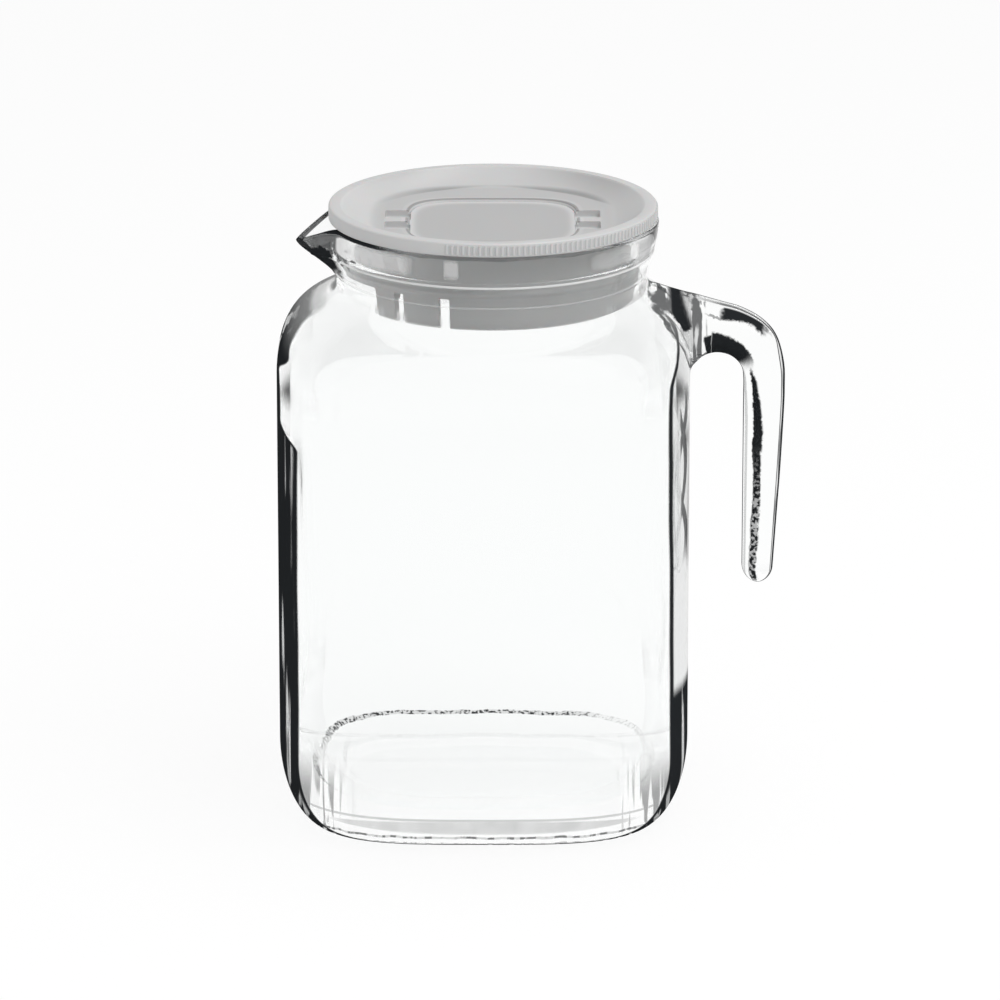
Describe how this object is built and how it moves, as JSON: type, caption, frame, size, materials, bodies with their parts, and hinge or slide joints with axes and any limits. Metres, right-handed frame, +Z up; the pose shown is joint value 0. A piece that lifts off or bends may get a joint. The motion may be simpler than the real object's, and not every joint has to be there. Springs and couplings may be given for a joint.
{
  "type": "glass pitcher with lid",
  "caption": "Clear glass fridge jug of rounded-square section with a round neck, pouring lip, hook handle with a free end and a push-in plastic lid.",
  "frame": {"origin": "on the table under the middle of the part's bounding box; the glass body's own axis is 14.5 mm from it towards the lip", "axes": "+Z up, -X towards the pouring lip, +X towards the handle, +Y across"},
  "size_m": [0.1548, 0.1254, 0.1872],
  "materials": {
    "clear_glass": "clear pressed glass, fire polished, with slight waves in the walls",
    "lid_plastic": "light grey translucent polyethylene with a fine satin surface"
  },
  "bodies": {
    "jug": {"glass_body": "clear_glass", "glass_handle": "clear_glass"},
    "lid": {"lid": "lid_plastic"}
  },
  "joints": [
    {"name": "lid_lift", "type": "slide", "parent": "jug", "child": "lid", "axis": [0, 0, 1], "range_m": [0, 0.1]}
  ]
}
